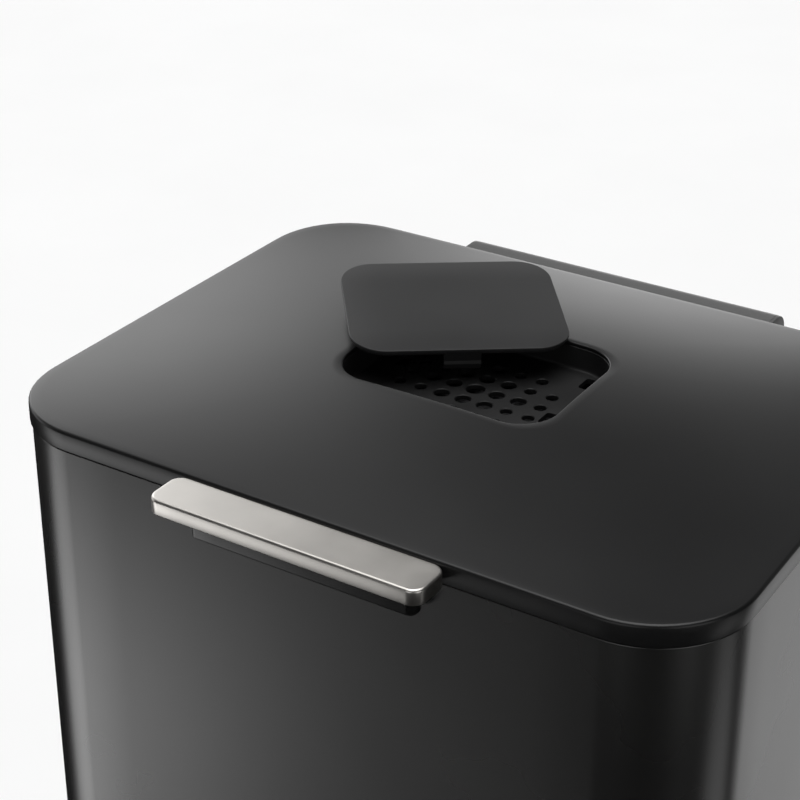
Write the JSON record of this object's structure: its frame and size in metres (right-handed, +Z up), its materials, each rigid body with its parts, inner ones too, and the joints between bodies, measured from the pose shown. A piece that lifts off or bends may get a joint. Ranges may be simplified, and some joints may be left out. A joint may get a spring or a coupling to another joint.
{
  "type": "trash compactor",
  "caption": "Hand-operated kitchen trash compactor with crowned hinged lid, front pull handle, odour filter well and folding scissor press plate.",
  "frame": {"origin": "bottom centre of the bounding box, on the floor under the feet", "axes": "+X to the right seen from the front, +Y to the back (hinge side), +Z up"},
  "size_m": [0.369, 0.328, 0.675],
  "materials": {
    "casing_steel": "black satin coated steel",
    "lid_skin": "black satin",
    "cover_plastic": "black satin",
    "well_plastic": "black matt",
    "liner_plastic": "black fine grain",
    "base_plastic": "black fine grain",
    "bucket_plastic": "grey fine grain",
    "hinge_plastic": "dark grey satin",
    "satin_nickel": "satin nickel",
    "gloss_black": "gloss black",
    "bright_steel": "bright",
    "dark_steel": "black coated",
    "arm_steel": "zinc plated",
    "rail_steel": "zinc plated",
    "plate_steel": "brushed",
    "pad_plastic": "dark grey",
    "nylon": "natural nylon",
    "seal_rubber": "matt",
    "foot_rubber": "matt",
    "charcoal_pad": "charcoal felt"
  },
  "bodies": {
    "cabinet": {"casing": "casing_steel", "base_tray": "base_plastic", "feet": "foot_rubber", "foot_screws": "bright_steel", "top_collar": "base_plastic", "bucket": "bucket_plastic", "liner_ring": "bucket_plastic", "hinge_leaf_fixed": "dark_steel", "hinge_shaft": "bright_steel", "hinge_screws": "dark_steel"},
    "lid": {"lid_shell": "lid_skin", "lid_liner": "liner_plastic", "lid_seal": "seal_rubber", "filter_well": "well_plastic", "filter_cartridge": "charcoal_pad", "filter_tray": "well_plastic", "handle_bar": "satin_nickel", "handle_block": "gloss_black", "handle_screws": "bright_steel", "hinge_cover": "hinge_plastic", "hinge_cover_caps": "hinge_plastic", "hinge_leaf_lid": "dark_steel", "hinge_bushes": "nylon", "lid_rails": "rail_steel", "rail_screws": "bright_steel", "top_pivot_shaft": "bright_steel"},
    "upper_inner_arms": {"upper_arms_inner": "arm_steel", "upper_centre_shaft": "bright_steel", "front_joint_shaft": "bright_steel"},
    "upper_outer_arms": {"upper_arms_outer": "arm_steel", "upper_slide_shaft": "bright_steel", "upper_rollers": "nylon", "rear_joint_shaft": "bright_steel"},
    "lower_inner_arms": {"lower_arms_inner": "arm_steel", "lower_centre_shaft": "bright_steel", "lower_slide_shaft": "bright_steel", "lower_rollers": "nylon"},
    "lower_outer_arms": {"lower_arms_outer": "arm_steel"},
    "press": {"plate_rails": "rail_steel", "press_plate": "plate_steel", "press_pad": "pad_plastic", "plate_pivot_shaft": "bright_steel"},
    "cover": {"filter_cover": "cover_plastic"}
  },
  "joints": [
    {"name": "lid_hinge", "type": "hinge", "parent": "cabinet", "child": "lid", "pos_m": [0, 0.1536, 0.6368], "axis": [-1, 0, 0], "range_deg": [0, 95]},
    {"name": "press_fold", "type": "hinge", "parent": "lid", "child": "upper_inner_arms", "pos_m": [0, 0.09962, 0.616], "axis": [1, 0, 0], "range_deg": [0, 36]},
    {"name": "upper_cross", "type": "hinge", "parent": "upper_inner_arms", "child": "upper_outer_arms", "pos_m": [0, 0, 0.60728], "axis": [1, 0, 0], "range_deg": [-72, 0]},
    {"name": "rear_joint", "type": "hinge", "parent": "upper_outer_arms", "child": "lower_inner_arms", "pos_m": [0, 0.09962, 0.59857], "axis": [1, 0, 0], "range_deg": [0, 72]},
    {"name": "lower_cross", "type": "hinge", "parent": "lower_inner_arms", "child": "lower_outer_arms", "pos_m": [0, 0, 0.58985], "axis": [1, 0, 0], "range_deg": [-72, 0]},
    {"name": "plate_pivot", "type": "hinge", "parent": "lower_outer_arms", "child": "press", "pos_m": [0, 0.09962, 0.58114], "axis": [1, 0, 0], "range_deg": [0, 36]},
    {"name": "cover_lift", "type": "slide", "parent": "lid", "child": "cover", "axis": [0, 0, 1], "range_m": [0, 0.06]}
  ],
  "couplings": [
    {"joint": "upper_cross", "follows": "press_fold", "ratio": -2},
    {"joint": "rear_joint", "follows": "press_fold", "ratio": 2},
    {"joint": "lower_cross", "follows": "press_fold", "ratio": -2},
    {"joint": "plate_pivot", "follows": "press_fold", "ratio": 1}
  ]
}
